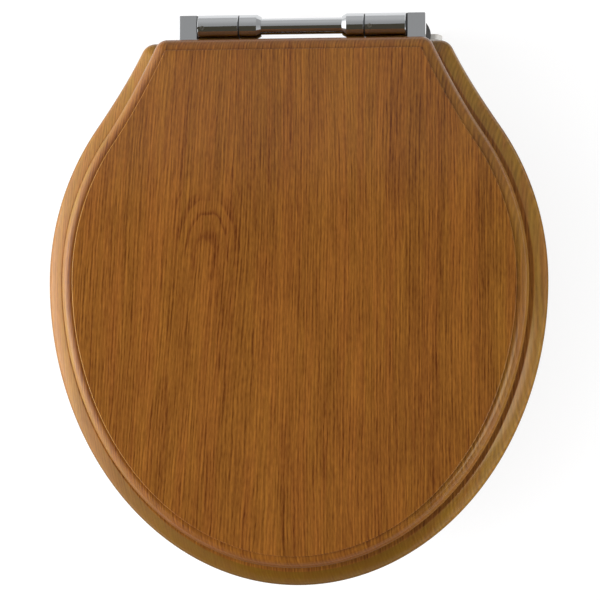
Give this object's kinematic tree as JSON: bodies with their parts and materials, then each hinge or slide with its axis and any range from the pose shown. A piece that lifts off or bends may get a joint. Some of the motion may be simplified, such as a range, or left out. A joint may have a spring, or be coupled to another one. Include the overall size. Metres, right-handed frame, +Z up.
{
  "type": "toilet seat",
  "caption": "Oval wooden toilet seat with a moulded-edge lid, on a chromed soft-close bar hinge with studs that fix it to a pan.",
  "frame": {"origin": "midway between the two fixing studs, on the top of the pan", "axes": "+Z up, +Y back towards the wall, +X to the right of someone who faces the hinge"},
  "size_m": [0.37, 0.4254, 0.112],
  "materials": {
    "oak": "stained oak under satin lacquer",
    "chrome": "polished chrome plate",
    "zinc_steel": "bright zinc plate",
    "screw_steel": "zinc-plated steel",
    "rubber": "moulded black rubber",
    "nut_plastic": "moulded white plastic",
    "damper_plastic": "moulded black plastic",
    "washer_plastic": "black nylon"
  },
  "bodies": {
    "base": {"cone_washer_left": "rubber", "cone_washer_right": "rubber", "damper_body_left": "damper_plastic", "damper_body_right": "damper_plastic", "fixing_stud_left": "zinc_steel", "fixing_stud_right": "zinc_steel", "foot_gasket_left": "rubber", "foot_gasket_right": "rubber", "grub_screw_left": "zinc_steel", "grub_screw_right": "zinc_steel", "lid_washer_left": "washer_plastic", "lid_washer_right": "washer_plastic", "pillar_left": "chrome", "pillar_right": "chrome", "pivot_pin_left": "zinc_steel", "pivot_pin_right": "zinc_steel", "plate_washer_left": "zinc_steel", "plate_washer_right": "zinc_steel", "seat_washer_left": "washer_plastic", "seat_washer_right": "washer_plastic", "wing_nut_left": "nut_plastic", "wing_nut_right": "nut_plastic"},
    "seat": {"damper_rotor_left": "damper_plastic", "seat_arm_left": "chrome", "seat_arm_right": "chrome", "seat_arm_screws": "screw_steel", "seat_buffer_front_left": "rubber", "seat_buffer_front_right": "rubber", "seat_buffer_rear_left": "rubber", "seat_buffer_rear_right": "rubber", "seat_buffer_screws": "screw_steel", "seat_ring": "oak", "tie_bar": "chrome"},
    "lid": {"damper_rotor_right": "damper_plastic", "lid_arm_left": "chrome", "lid_arm_right": "chrome", "lid_arm_screws": "screw_steel", "lid_buffer_front_left": "rubber", "lid_buffer_front_right": "rubber", "lid_buffer_rear_left": "rubber", "lid_buffer_rear_right": "rubber", "lid_buffer_screws": "screw_steel", "lid_panel": "oak"}
  },
  "joints": [
    {"name": "seat_hinge", "type": "hinge", "parent": "base", "child": "seat", "pos_m": [0, 0, 0.03], "axis": [-1, 0, 0], "range_deg": [0, 95]},
    {"name": "lid_hinge", "type": "hinge", "parent": "seat", "child": "lid", "pos_m": [0, 0, 0.03], "axis": [-1, 0, 0], "range_deg": [0, 100]}
  ]
}
